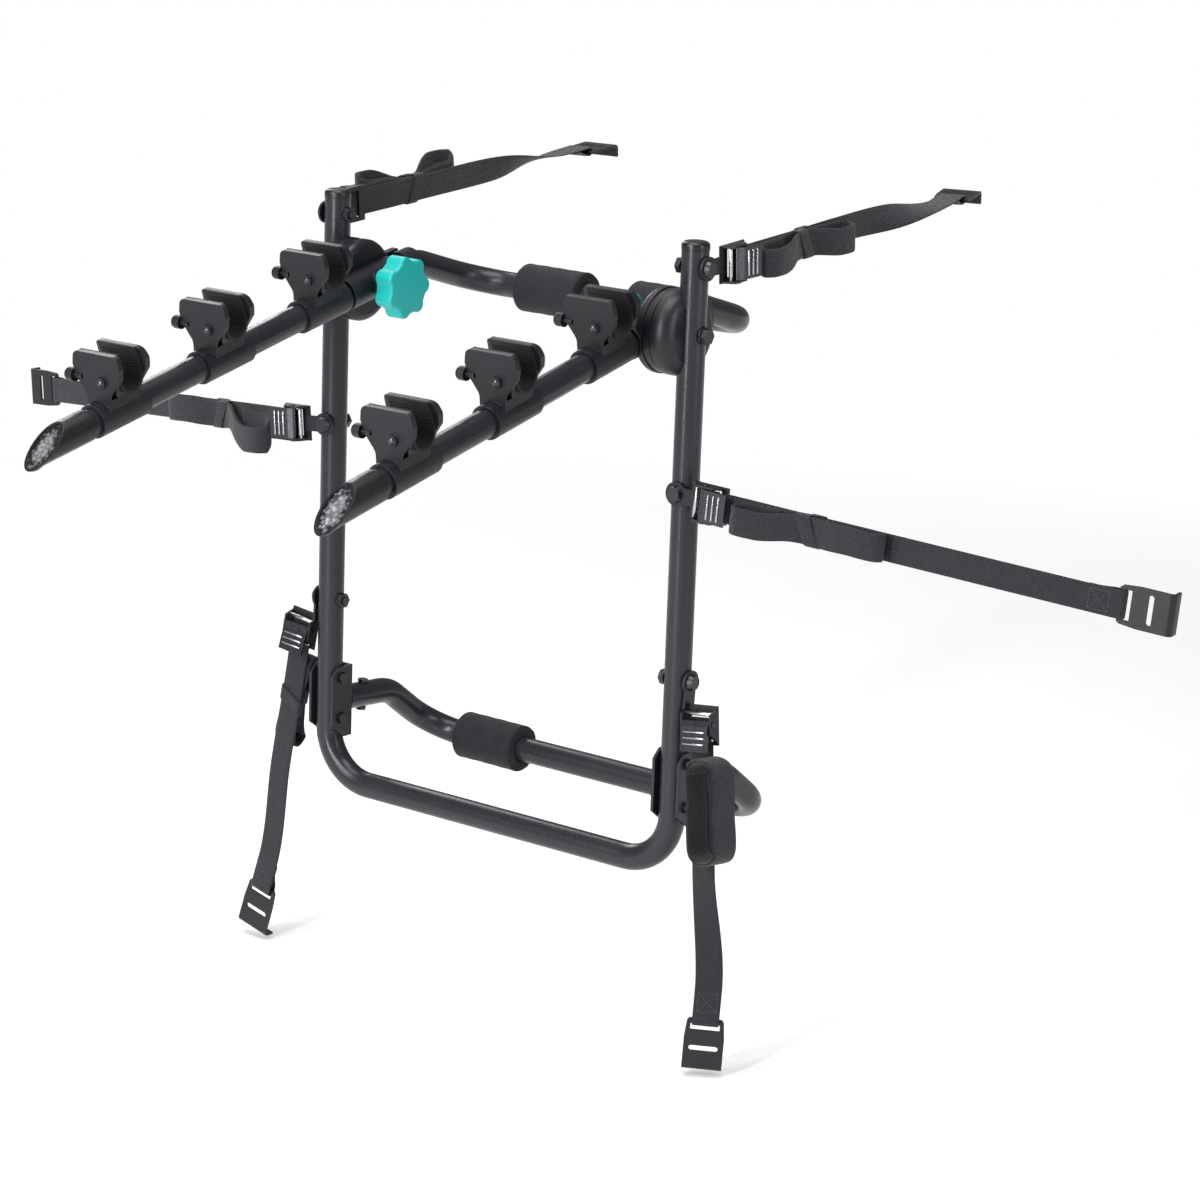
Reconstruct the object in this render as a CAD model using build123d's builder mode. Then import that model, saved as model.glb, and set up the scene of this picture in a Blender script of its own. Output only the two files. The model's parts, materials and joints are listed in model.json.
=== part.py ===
from build123d import *
from math import atan2, cos, degrees, hypot, radians, sin, tan
import os

# A strap-on rear bicycle carrier: a bent tube frame that leans on a car, two folding arms
# with three frame cradles each, an upper and a lower spacer bar with foam pads, and six straps.
# Millimetres. +Z is up along the frame, -Y points to the bicycles and +Y to the car.
# The origin is the middle of the line where the two lower pads rest on the car, at pad height.

# Tubes
tube_radius = 12.5
tube_wall = 1.5
slide_gap = 0.05
hole_gap = 0.15
running_gap = 0.06
stack_gap = 0.2

# Main frame
upright_x = 210.0
upright_top_z = 555.5
crossbar_z = -18.3
frame_bend = 52.0
cap_height = 7.8
cap_spigot = 9.0

# Pads and the two spacer bars
pad_radius = 23.5
pad_length = 74.0
lower_pad_x = 125.0
upper_pad_x = 67.0
lower_reach = 154.8
lower_leg_x = 206.2
lower_root_z = 59.6
lower_knee_reach = 82.5
lower_knee_z = 53.6
lower_bar_bend = 44.0
upper_reach = 159.0
upper_knee_reach = 67.0
upper_knee_rise = 11.8
upper_bar_drop = 15.0
upper_knee_bend = 38.0
upper_bar_bend = 45.0
frame_y = -(lower_reach + pad_radius)

# Hubs
hub_z = 479.9
hub_radius = 39.0
hub_bolt_radius = 4.0
cap_inner_x = upright_x - 20.0
cap_rim = 7.0
cap_face_radius = 28.0
spacer_disc = 7.4
arm_x = 167.1
arm_disc_depth = 4.0
lug_start = 42.0
lug_end = 60.0
lug_radius = 17.0
arm_sleeve_radius = 16.0
arm_sleeve_back = 28.0
arm_sleeve_front = 40.0
arm_boss_radius = 13.0
arm_boss_length = 3.5

# Clamp knobs
knob_radius = 30.0
knob_valley = 25.5
knob_lobes = 7
knob_lobe_radius = 8.0
knob_thick = 20.0
knob_neck = 9.0
knob_neck_radius = 12.0

# Arms
arm_droop = 13.0
arm_tail = 25.0
arm_length = 400.0
plug_radius = 14.6
plug_start = arm_length - 14.0
plug_top = arm_length + 15.0
plug_bottom = arm_length + 60.0
reflector_rim = 2.4
reflector_thick = 2.5

# Cradles
cradle_count = 3
cradle_first = 73.5
cradle_last = arm_length - 52.5
cradle_pitch = (cradle_last - cradle_first) / (cradle_count - 1)
cradle_sleeve = 60.0
cradle_sleeve_radius = 15.6
cradle_half_width = 28.5
cradle_neck_half = 14.0
cradle_top = 58.0
seat_offset = 4.0
seat_height = 33.0
seat_radius = 14.5
liner_thick = 2.0
jaw_thick = 5.0
hub_curl = 5.0
tip_curl = 1.0
jaw_corner = 6.0
rivet_across = 6.0
rivet_radius = 5.5
liner_ribs = 6
liner_rib_start = 3.5
stud_radius = 6.2
stud_length = 12.0
stud_rise = 2.0
stud_round = 3.5
stud_pin_radius = 2.5
stud_offset = 15.0

# Lower brackets
bracket_wall = 3.0
bracket_low_z = 23.0
bracket_high_z = 95.0
bracket_front = 13.0
bracket_bolts_z = (43.0, 84.0)
bracket_bolt_radius = 3.0
stub_length = 62.0
lock_bolt_reach = 44.0

# Straps
strap_bolt_radius = 4.0
upper_strap_z = 540.0
side_strap_z = 337.0
lower_strap_z = 162.0
web_width = 25.0
web_thick = 1.6
eye_radius = 11.0
eye_thick = 2.5
buckle_start = 18.0
buckle_length = 36.0
buckle_half = 17.0
buckle_wall = 2.0
buckle_height = 13.0
lever_pin_radius = 2.5
lever_pin_x = 16.0
lever_pin_y = 8.4
lever_reach = 25.0
hook_half = 18.5
hook_neck_half = 17.0
hook_plate = 2.5
hook_length = 47.0
hook_lip = 12.0
hook_bar = 5.0
hook_slot_half = 13.5
eyelet_inner = 3.0
loop_back = 30.0
web_low = 1.6
web_middle = web_low + web_thick / 2
web_sink = 1.6
lobe_height = 20.0
hanging_height = 40.0
hanging_base = 2.0
lobe_wall = 3.4
lobe_round = 4.0
lobe_pinch = 8.0
tie_width = 12.0
tie_thick = 1.2

SIDES = {"left": -1, "right": 1}


def unit(v):
    """The direction of v, with length 1."""
    return Vector(*v).normalized()


def inside(base, origin, x_dir, z_dir):
    """A plane given by an origin and directions in the base plane's own coordinates."""
    def turned(v):
        return base.x_dir * v[0] + base.y_dir * v[1] + base.z_dir * v[2]
    return Plane(origin=base.from_local_coords(Vector(*origin)), x_dir=turned(x_dir), z_dir=turned(z_dir))


def save(part, name):
    """Labels a finished piece and writes its file."""
    part.label = name
    export_step(part, f"parts/{name}.step")


def across(x, y, z, radius, length, mode=Mode.ADD):
    """A cylinder along X, centred on a point."""
    with Locations(Location((x, y, z), (0, 90, 0))):
        Cylinder(radius, length, mode=mode)


def rod_along(points, bends, radius, mode=Mode.ADD):
    """A solid round rod along a bent centre line."""
    with BuildLine() as centre:
        FilletPolyline(*points, radius=bends)
    with BuildSketch(centre.line ^ 0) as section:
        Circle(radius)
    sweep(section.sketch, path=centre.line, mode=mode)


def tube_along(points, bends):
    """A hollow tube along a bent centre line."""
    rod_along(points, bends, tube_radius)
    rod_along(points, bends, tube_radius - tube_wall, Mode.SUBTRACT)


# Directions that several pieces share
arm_dir = unit((0, -cos(radians(arm_droop)), -sin(radians(arm_droop))))
arm_up = unit((0, -sin(radians(arm_droop)), cos(radians(arm_droop))))
upper_rise = degrees(atan2(upper_knee_rise, upper_knee_reach))
upper_dir = unit((0, cos(radians(upper_rise)), sin(radians(upper_rise))))
lower_dir = unit((0, lower_knee_reach, lower_knee_z - lower_root_z))
spacer_disc_outer = cap_inner_x - stack_gap
spacer_disc_inner = spacer_disc_outer - spacer_disc
arm_disc_outer = spacer_disc_inner - stack_gap
arm_disc_inner = arm_x + arm_disc_depth
knob_face_x = arm_x - arm_sleeve_radius - arm_boss_length - stack_gap


def hub_section(side):
    """The plane through a hub's axis, with its x outward along the axis and its y upward."""
    return Plane(origin=(0, frame_y, hub_z), x_dir=(side, 0, 0), z_dir=(0, -side, 0))


def hub_face(side, x):
    """The plane square to a hub's axis at a distance from the middle of the rack."""
    return Plane(origin=(side * x, frame_y, hub_z), x_dir=(0, 1, 0), z_dir=(side, 0, 0))


def hub_bore(side, x_low, x_high, radius):
    """Cuts a round hole along a hub's axis."""
    across(side * (x_low + x_high) / 2, frame_y, hub_z, radius, x_high - x_low, Mode.SUBTRACT)


hub_axis = Axis((0, frame_y, hub_z), (1, 0, 0))


def arm_plane(side):
    """The arm's own frame: x along the arm from the hub axis, y along +X and z up from the arm."""
    return Plane(origin=(side * arm_x, frame_y, hub_z), x_dir=arm_dir, z_dir=arm_up)


# Main frame
frame_points = [
    (-upright_x, frame_y, upright_top_z),
    (-upright_x, frame_y, crossbar_z),
    (upright_x, frame_y, crossbar_z),
    (upright_x, frame_y, upright_top_z),
]


def make_main_frame():
    with BuildPart() as frame:
        tube_along(frame_points, frame_bend)
        for side in SIDES.values():
            hub_bore(side, cap_inner_x, upright_x + 2 * tube_radius, hub_bolt_radius + hole_gap)
            for z in bracket_bolts_z:
                across(side * upright_x, frame_y, z, bracket_bolt_radius + hole_gap, 40, Mode.SUBTRACT)
            for z in (upper_strap_z, lower_strap_z):
                across(side * upright_x, frame_y, z, strap_bolt_radius + hole_gap, 40, Mode.SUBTRACT)
            with Locations(Location((side * upright_x, frame_y, side_strap_z), (90, 0, 0))):
                Cylinder(strap_bolt_radius + hole_gap, 40, mode=Mode.SUBTRACT)
    save(frame.part, "main_frame")


def make_upright_caps():
    top = upright_top_z + cap_height
    inner = tube_radius - tube_wall - slide_gap
    outer = tube_radius + 0.4
    low = upright_top_z - cap_spigot
    with BuildPart() as caps:
        for side in SIDES.values():
            axis_point = (side * upright_x, frame_y, 0)
            with BuildSketch(Plane(origin=axis_point, x_dir=(1, 0, 0), z_dir=(0, -1, 0))):
                with BuildLine():
                    Line((0, low), (inner, low))
                    Line((inner, low), (inner, upright_top_z))
                    Line((inner, upright_top_z), (outer, upright_top_z))
                    Line((outer, upright_top_z), (outer, top - 4))
                    ThreePointArc(
                        (outer, top - 4),
                        (tube_radius - 1.0, top - 1.0),
                        (tube_radius - 4.5, top),
                    )
                    Line((tube_radius - 4.5, top), (0, top))
                    Line((0, top), (0, low))
                make_face()
            revolve(axis=Axis(axis_point, (0, 0, 1)))
    save(caps.part, "upright_caps")


# Hubs
def make_hub_cap(name, side):
    outer = upright_x + 1
    with BuildPart() as cap:
        with BuildSketch(hub_section(side)):
            with BuildLine():
                Line((cap_inner_x, 0), (cap_inner_x, hub_radius - 1.5))
                Line((cap_inner_x, hub_radius - 1.5), (cap_inner_x + 1.5, hub_radius))
                Line((cap_inner_x + 1.5, hub_radius), (cap_inner_x + cap_rim, hub_radius))
                ThreePointArc(
                    (cap_inner_x + cap_rim, hub_radius),
                    (outer - 4.5, hub_radius - 3.6),
                    (outer, cap_face_radius),
                )
                Line((outer, cap_face_radius), (outer, 0))
                Line((outer, 0), (cap_inner_x, 0))
            make_face()
        revolve(axis=hub_axis)
        with Locations((side * upright_x, frame_y, hub_z)):
            Cylinder(tube_radius + slide_gap, 3 * hub_radius, mode=Mode.SUBTRACT)
        hub_bore(side, cap_inner_x - 1, outer, hub_bolt_radius + hole_gap)
    save(cap.part, f"hub_cap_{name}")


def make_hub_bolts():
    head_x = upright_x + tube_radius
    end_x = knob_face_x - knob_neck - knob_thick + 6
    with BuildPart() as bolts:
        for side in SIDES.values():
            across(side * (head_x + end_x) / 2, frame_y, hub_z, hub_bolt_radius, head_x - end_x)
            with BuildSketch(hub_face(side, head_x)):
                Circle(8.5)
            extrude(amount=1.6)
            with BuildSketch(hub_face(side, head_x + 1.6)):
                RegularPolygon(6.5, 6, major_radius=False)
            extrude(amount=5)
    save(bolts.part, "hub_bolts")


def make_spacer_hub(name, side):
    rise = unit((0, upper_knee_reach, upper_knee_rise))
    lug = Plane(origin=(side * arm_x, frame_y, hub_z), x_dir=upper_dir, z_dir=(side, 0, 0))
    plate_low = spacer_disc_inner - arm_x
    with BuildPart() as hub:
        with BuildSketch(hub_face(side, spacer_disc_inner)):
            Circle(hub_radius - 1)
        extrude(amount=spacer_disc)
        with BuildSketch(lug.offset(plate_low)):
            with Locations((lug_end / 2, 0)):
                Rectangle(lug_end, 2 * lug_radius - 6)
        extrude(amount=spacer_disc)
        with BuildSketch(inside(lug, (lug_start, 0, 0), (0, 1, 0), (1, 0, 0))):
            Circle(lug_radius)
        extrude(amount=lug_end - lug_start)
        bore_start = Vector(side * arm_x, frame_y, hub_z) + rise * (lug_start + 2)
        with BuildSketch(Plane(origin=bore_start, x_dir=(1, 0, 0), z_dir=rise)):
            Circle(tube_radius + slide_gap)
        extrude(amount=lug_end, mode=Mode.SUBTRACT)
        hub_bore(side, spacer_disc_inner - 1, spacer_disc_outer + 1, hub_bolt_radius + running_gap)
    save(hub.part, f"spacer_hub_{name}")


def make_arm_hub(name, side):
    arm = arm_plane(side)
    with BuildPart() as hub:
        with BuildSketch(hub_section(side)):
            with BuildLine():
                Line((arm_disc_inner, 0), (arm_disc_inner, hub_radius - 9))
                ThreePointArc(
                    (arm_disc_inner, hub_radius - 9),
                    (arm_disc_inner + 1.9, hub_radius - 2.6),
                    (arm_disc_inner + 6, hub_radius),
                )
                Line((arm_disc_inner + 6, hub_radius), (arm_disc_outer, hub_radius))
                Line((arm_disc_outer, hub_radius), (arm_disc_outer, 0))
                Line((arm_disc_outer, 0), (arm_disc_inner, 0))
            make_face()
        revolve(axis=hub_axis)
        with BuildSketch(inside(arm, (-arm_sleeve_back, 0, 0), (0, 1, 0), (1, 0, 0))):
            Circle(arm_sleeve_radius)
        extrude(amount=arm_sleeve_back + arm_sleeve_front)
        boss_x = arm_x - arm_sleeve_radius - arm_boss_length
        with BuildSketch(hub_face(side, boss_x)):
            Circle(arm_boss_radius)
        extrude(amount=arm_sleeve_radius)
        with BuildSketch(hub_face(side, arm_disc_outer)):
            Circle(2 * hub_radius)
        extrude(amount=spacer_disc, mode=Mode.SUBTRACT)
        with BuildSketch(inside(arm, (-arm_tail, 0, 0), (0, 1, 0), (1, 0, 0))):
            Circle(tube_radius + slide_gap)
        extrude(amount=arm_tail + arm_sleeve_front + 1, mode=Mode.SUBTRACT)
        hub_bore(side, boss_x - 1, arm_disc_outer + 1, hub_bolt_radius + running_gap)
    save(hub.part, f"arm_hub_{name}")


def make_knob(name, side):
    with BuildPart() as knob:
        with BuildSketch(hub_face(side, knob_face_x - knob_neck)) as outline:
            Circle(knob_valley)
            with PolarLocations(knob_radius - knob_lobe_radius, knob_lobes):
                Circle(knob_lobe_radius)
            fillet(outline.vertices(), knob_lobe_radius / 2)
        extrude(amount=-knob_thick)
        fillet(knob.faces().sort_by(Axis.X)[0].edges() + knob.faces().sort_by(Axis.X)[-1].edges(), 2.5)
        with BuildSketch(hub_face(side, knob_face_x)):
            Circle(knob_neck_radius)
        extrude(amount=-knob_neck - 1)
        hub_bore(
            side,
            knob_face_x - knob_neck - knob_thick + 5,
            knob_face_x + 1,
            hub_bolt_radius + running_gap,
        )
    save(knob.part, f"knob_{name}")


# Arms
def make_arm_tube(name, side):
    arm = arm_plane(side)
    with BuildPart() as tube:
        with BuildSketch(inside(arm, (-arm_tail, 0, 0), (0, 1, 0), (1, 0, 0))):
            Circle(tube_radius)
            Circle(tube_radius - tube_wall, mode=Mode.SUBTRACT)
        extrude(amount=arm_tail + arm_length)
        hub_bore(side, arm_x - 2 * tube_radius, arm_x + 2 * tube_radius, hub_bolt_radius + running_gap)
    save(tube.part, f"arm_tube_{name}")


def cut_face(side, depth=0.0):
    """The plane of the arm end's slanted cut, with x across the arm and y up the slope."""
    arm = arm_plane(side)
    run = plug_bottom - plug_top
    fall = 2 * plug_radius
    size = hypot(run, fall)
    normal = (fall / size, 0, run / size)
    centre = ((plug_top + plug_bottom) / 2, 0, 0)
    return inside(arm, centre, (0, 1, 0), normal).offset(-depth)


def cut_length():
    """The length of the slanted cut's long axis."""
    return hypot(plug_bottom - plug_top, 2 * plug_radius)


def make_arm_end(name, side):
    arm = arm_plane(side)
    with BuildPart() as plug:
        with BuildSketch(inside(arm, (plug_start, 0, 0), (0, 1, 0), (1, 0, 0))):
            Circle(plug_radius)
        extrude(amount=plug_bottom - plug_start + 5)
        with BuildSketch(cut_face(side)):
            Circle(4 * plug_radius)
        extrude(amount=3 * plug_radius, mode=Mode.SUBTRACT)
        with BuildSketch(inside(arm, (plug_start, 0, 0), (0, 1, 0), (1, 0, 0))):
            Circle(tube_radius + slide_gap)
        extrude(amount=arm_length - plug_start + 0.2, mode=Mode.SUBTRACT)
        with BuildSketch(cut_face(side)):
            Ellipse(plug_radius - reflector_rim, cut_length() / 2 - reflector_rim)
        extrude(amount=-reflector_thick - 1, mode=Mode.SUBTRACT)
    save(plug.part, f"arm_end_{name}")
    with BuildPart() as reflector:
        with BuildSketch(cut_face(side, reflector_thick + 1)):
            Ellipse(plug_radius - reflector_rim - 0.1, cut_length() / 2 - reflector_rim - 0.1)
        extrude(amount=reflector_thick)
    save(reflector.part, f"reflector_{name}")


# Cradles
def seat_side_face(side, middle):
    """The plane along an arm through a cradle's middle, with x along the arm and y up."""
    return inside(arm_plane(side), (middle, 0, 0), (1, 0, 0), (0, -1, 0))


def seat_curve(inset):
    """The seat's inner wall seen from the side, from the curled hub jaw round the seat to the tip jaw."""
    half = seat_radius - inset
    rise = cradle_top - seat_height
    low, high = -seat_offset - half, -seat_offset + half
    Spline(
        (low + hub_curl, cradle_top),
        (low + hub_curl / 4, seat_height + rise / 2),
        (low, seat_height),
        tangents=[(-0.4, -1), (0, -1)],
    )
    ThreePointArc((low, seat_height), (-seat_offset, seat_height - half), (high, seat_height))
    Line((high, seat_height), (high - tip_curl, cradle_top))
    return low, high


def make_cradle(name, side, number):
    middle = cradle_first + cradle_pitch * (number - 1)
    arm = arm_plane(side)
    foot = cradle_sleeve_radius / 2
    with BuildPart() as cradle:
        with BuildSketch(seat_side_face(side, middle)):
            with BuildLine():
                low, high = seat_curve(0)
                tip_out = high + jaw_thick
                hub_out = low - jaw_thick
                Line((high - tip_curl, cradle_top), (tip_out - tip_curl, cradle_top))
                Line((tip_out - tip_curl, cradle_top), (tip_out + 1, seat_height))
                Line((tip_out + 1, seat_height), (tip_out + 4, foot))
                Line((tip_out + 4, foot), (low + 1, foot))
                Line((low + 1, foot), (hub_out + 1, seat_height - seat_radius / 2))
                Line((hub_out + 1, seat_height - seat_radius / 2), (hub_out, seat_height + 3))
                ThreePointArc(
                    (hub_out, seat_height + 3),
                    (hub_out + 0.2 * hub_curl, cradle_top - 9),
                    (hub_out + hub_curl, cradle_top),
                )
                Line((hub_out + hub_curl, cradle_top), (low + hub_curl, cradle_top))
            make_face()
        extrude(amount=cradle_half_width, both=True)
        with BuildSketch(inside(arm, (middle, 0, 0), (0, 1, 0), (1, 0, 0))) as front:
            with BuildLine():
                Polyline(
                    (-cradle_neck_half, 0),
                    (cradle_neck_half, 0),
                    (cradle_neck_half, 20),
                    (cradle_half_width - 2, 36),
                    (cradle_half_width, 46),
                    (cradle_half_width - 2, cradle_top),
                    (-cradle_half_width + 2, cradle_top),
                    (-cradle_half_width, 46),
                    (-cradle_half_width + 2, 36),
                    (-cradle_neck_half, 20),
                    close=True,
                )
            make_face()
            fillet(front.vertices().filter_by(lambda v: v.Y > cradle_top - 1), jaw_corner)
            fillet(front.vertices().filter_by(lambda v: 19 < v.Y < 21), 10)
        extrude(amount=cradle_sleeve, both=True, mode=Mode.INTERSECT)
        with BuildSketch(inside(arm, (middle - cradle_sleeve / 2, 0, 0), (0, 1, 0), (1, 0, 0))):
            Circle(cradle_sleeve_radius)
        extrude(amount=cradle_sleeve)
        with BuildSketch(inside(arm, (middle - cradle_sleeve, 0, 0), (0, 1, 0), (1, 0, 0))):
            Circle(tube_radius + slide_gap)
        extrude(amount=2 * cradle_sleeve, mode=Mode.SUBTRACT)
        boss = inside(arm, (middle + high + 2, rivet_across, seat_height), (0, 1, 0), (1, 0, 0))
        with BuildSketch(boss):
            Circle(rivet_radius)
        extrude(amount=jaw_thick + 1.5, taper=3)
        with BuildSketch(seat_side_face(side, middle)):
            with BuildLine():
                Polyline((high - 2, 17), (high + 6, 17), (high + 4, 29), close=True)
            make_face()
            with BuildLine():
                Polyline((low + 4, 17), (low + 1, 17), (low - 1.5, 26), close=True)
            make_face()
        extrude(amount=cradle_half_width + 1, both=True, mode=Mode.SUBTRACT)
        hole_start = (middle + stud_offset, -cradle_half_width + 4, seat_height + stud_rise)
        stud_hole = inside(arm, hole_start, (1, 0, 0), (0, -1, 0))
        with Locations(stud_hole.location):
            Cylinder(stud_pin_radius + slide_gap, 14, mode=Mode.SUBTRACT)
    save(cradle.part, f"cradle_{name}_{number}")


def cradle_middles():
    """Where the cradles' middles stand along an arm."""
    return [cradle_first + cradle_pitch * i for i in range(cradle_count)]


def make_liners(name, side):
    with BuildPart() as liners:
        for middle in cradle_middles():
            with BuildSketch(seat_side_face(side, middle)):
                with BuildLine():
                    outer = seat_curve(0)
                    Line((outer[1] - tip_curl, cradle_top), (outer[0] + hub_curl, cradle_top))
                make_face()
                with BuildLine():
                    inner = seat_curve(liner_thick)
                    Line((inner[1] - tip_curl, cradle_top), (inner[0] + hub_curl, cradle_top))
                make_face(mode=Mode.SUBTRACT)
                jaw_rise = cradle_top - seat_height
                for i in range(liner_ribs):
                    rise = liner_rib_start + (jaw_rise - 2 * liner_rib_start) * i / liner_ribs
                    bow = rise / jaw_rise
                    hub_rib = (inner[0] + hub_curl * bow * bow, seat_height + rise)
                    tip_rib = (inner[1] - tip_curl * bow, seat_height + rise)
                    with Locations(hub_rib, tip_rib):
                        Rectangle(1.6, 1.6, mode=Mode.SUBTRACT)
            extrude(amount=cradle_half_width - jaw_corner, both=True)
    save(liners.part, f"cradle_liners_{name}")


def make_studs(name, side):
    arm = arm_plane(side)
    with BuildPart() as studs:
        for middle in cradle_middles():
            head_start = (middle + stud_offset, -cradle_half_width + 1, seat_height + stud_rise)
            head = inside(arm, head_start, (1, 0, 0), (0, -1, 0))
            with BuildSketch(head.offset(-9)):
                Circle(stud_pin_radius)
            extrude(amount=12)
            with BuildSketch(head):
                Circle(stud_radius)
            extrude(amount=stud_length - 2)
        circles = studs.edges().filter_by(GeomType.CIRCLE)
        rims = circles.filter_by(lambda e: abs(e.radius - stud_radius) < 0.01)
        fillet(rims.sort_by(Axis.X)[:cradle_count], stud_round)
    save(studs.part, f"cradle_studs_{name}")


# Spacer bars
def make_upper_spacer():
    knee = (frame_y + upper_knee_reach, hub_z + upper_knee_rise)
    bar = (frame_y + upper_reach, hub_z - upper_bar_drop)
    root = Vector(0, frame_y, hub_z) + upper_dir * (lug_start + 2 + hole_gap)
    points = [(-arm_x, root.Y, root.Z), (-arm_x, *knee), (-arm_x, *bar)]
    points += [(arm_x, *bar), (arm_x, *knee), (arm_x, root.Y, root.Z)]
    with BuildPart() as spacer:
        tube_along(points, [upper_knee_bend, upper_bar_bend, upper_bar_bend, upper_knee_bend])
    save(spacer.part, "upper_spacer_bar")
    make_pads("upper_pads", upper_pad_x, bar)


def make_lower_spacer():
    start = Vector(0, frame_y, lower_root_z) + lower_dir * (tube_radius + bracket_wall + 1)
    knee = (frame_y + lower_knee_reach, lower_knee_z)
    bar = (frame_y + lower_reach, 0)
    points = [(-lower_leg_x, start.Y, start.Z), (-lower_leg_x, *knee), (-lower_leg_x, *bar)]
    points += [(lower_leg_x, *bar), (lower_leg_x, *knee), (lower_leg_x, start.Y, start.Z)]
    with BuildPart() as spacer:
        tube_along(points, [lower_bar_bend] * 4)
        for side in SIDES.values():
            with Locations(lock_bolt_plane(side).location):
                Cylinder(bracket_bolt_radius + hole_gap, 4 * tube_radius, mode=Mode.SUBTRACT)
    save(spacer.part, "lower_spacer_bar")
    make_pads("lower_pads", lower_pad_x, bar)


def lock_bolt_plane(side):
    """The plane square to the lock bolt of a lower leg, on the leg's centre line."""
    centre = Vector(side * lower_leg_x, frame_y, lower_root_z) + lower_dir * lock_bolt_reach
    return Plane(origin=centre, x_dir=(1, 0, 0), z_dir=Vector(0, -lower_dir.Z, lower_dir.Y))


def make_pads(name, x, bar):
    with BuildPart() as pads:
        for side in SIDES.values():
            with BuildSketch(Plane(origin=(side * x, bar[0], bar[1]), x_dir=(0, 1, 0), z_dir=(1, 0, 0))):
                Circle(pad_radius)
                Circle(tube_radius + slide_gap, mode=Mode.SUBTRACT)
            extrude(amount=pad_length / 2, both=True)
        rims = pads.edges().filter_by(GeomType.CIRCLE).filter_by(lambda e: e.radius > tube_radius + 1)
        chamfer(rims, 1.5)
    save(pads.part, name)


# Lower brackets
def make_brackets():
    web_y = frame_y + tube_radius + slide_gap
    front_y = frame_y - bracket_front
    back_y = web_y + bracket_wall
    height = bracket_high_z - bracket_low_z
    with BuildPart() as brackets:
        for side in SIDES.values():
            with BuildSketch(Plane.XY.offset(bracket_low_z)):
                with Locations((side * upright_x, (front_y + back_y) / 2)):
                    Rectangle(2 * (tube_radius + bracket_wall), back_y - front_y)
                with Locations((side * upright_x, (front_y + web_y) / 2 - 5)):
                    Rectangle(2 * (tube_radius + slide_gap), web_y - front_y + 10, mode=Mode.SUBTRACT)
            extrude(amount=height)
            root = Vector(side * lower_leg_x, frame_y, lower_root_z) + lower_dir * (tube_radius + 1)
            with BuildSketch(Plane(origin=root, x_dir=(1, 0, 0), z_dir=lower_dir)):
                Circle(tube_radius - tube_wall - slide_gap)
            extrude(amount=stub_length - tube_radius - 1)
        with BuildSketch(Plane(origin=(0, frame_y, 0), x_dir=(0, 1, 0), z_dir=(1, 0, 0))):
            with BuildLine():
                Polyline(
                    (-bracket_front - 1, bracket_high_z + 1),
                    (-bracket_front - 1, bracket_high_z - 9),
                    (-3, bracket_high_z + 1),
                    close=True,
                )
            make_face()
            with BuildLine():
                Polyline(
                    (-bracket_front - 1, bracket_low_z - 1),
                    (-bracket_front - 1, bracket_low_z + 14),
                    (6, bracket_low_z - 1),
                    close=True,
                )
            make_face()
        extrude(amount=2 * upright_x, both=True, mode=Mode.SUBTRACT)
        rod_along(frame_points, frame_bend, tube_radius + slide_gap, Mode.SUBTRACT)
        for side in SIDES.values():
            for z in bracket_bolts_z:
                across(side * upright_x, frame_y, z, bracket_bolt_radius + hole_gap, 40, Mode.SUBTRACT)
            with Locations(lock_bolt_plane(side).location):
                Cylinder(bracket_bolt_radius + hole_gap, 4 * tube_radius, mode=Mode.SUBTRACT)
    save(brackets.part, "lower_brackets")


def bolt_through(plane, grip, radius, head):
    """A bolt along a plane's normal, with its grip centred on the plane, its head and its nut."""
    with Locations(plane.location):
        Cylinder(radius, grip + 2)
    with BuildSketch(plane.offset(grip / 2)) as head_shape:
        Circle(head)
    extrude(head_shape.sketch, amount=0.62 * head)
    with BuildSketch(plane.offset(-grip / 2)) as nut_shape:
        RegularPolygon(0.9 * head, 6, major_radius=False)
    extrude(nut_shape.sketch, amount=-0.62 * head)


def make_bracket_bolts():
    with BuildPart() as bolts:
        for side in SIDES.values():
            for z in bracket_bolts_z:
                face = Plane(origin=(side * upright_x, frame_y, z), x_dir=(0, 1, 0), z_dir=(side, 0, 0))
                bolt_through(face, 2 * (tube_radius + bracket_wall), bracket_bolt_radius, 5.5)
            bolt_through(lock_bolt_plane(side), 2 * tube_radius, bracket_bolt_radius, 5.0)
    save(bolts.part, "bracket_bolts")


# Straps
def strap_frame(root, along, outward):
    """A strap's own frame: x along the webbing, y outward from its face and z across it."""
    x_dir = unit(along)
    out = unit(outward)
    y_dir = (out - x_dir * out.dot(x_dir)).normalized()
    return Plane(origin=root, x_dir=x_dir, z_dir=x_dir.cross(y_dir))


# Each kind's run from the bolt to the hook bar, and where its folded spare starts and ends
strap_runs = {"upper": 398.0, "side": 429.0, "lower": 311.0}
spare_spans = {"upper": (62.0, 205.0), "side": (64.0, 215.0), "lower": (62.0, 160.0)}


def strap_bolt(kind, side):
    """The plane of a strap's eye: its origin on the bolt and its normal along the bolt."""
    clear = tube_radius + 0.5
    if kind == "side":
        origin = (side * upright_x, frame_y - clear, side_strap_z)
        return Plane(origin=origin, x_dir=(side, 0, 0), z_dir=(0, -1, 0))
    height = upper_strap_z if kind == "upper" else lower_strap_z
    return Plane(origin=(side * (upright_x + clear), frame_y, height), x_dir=(0, 1, 0), z_dir=(side, 0, 0))


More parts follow.
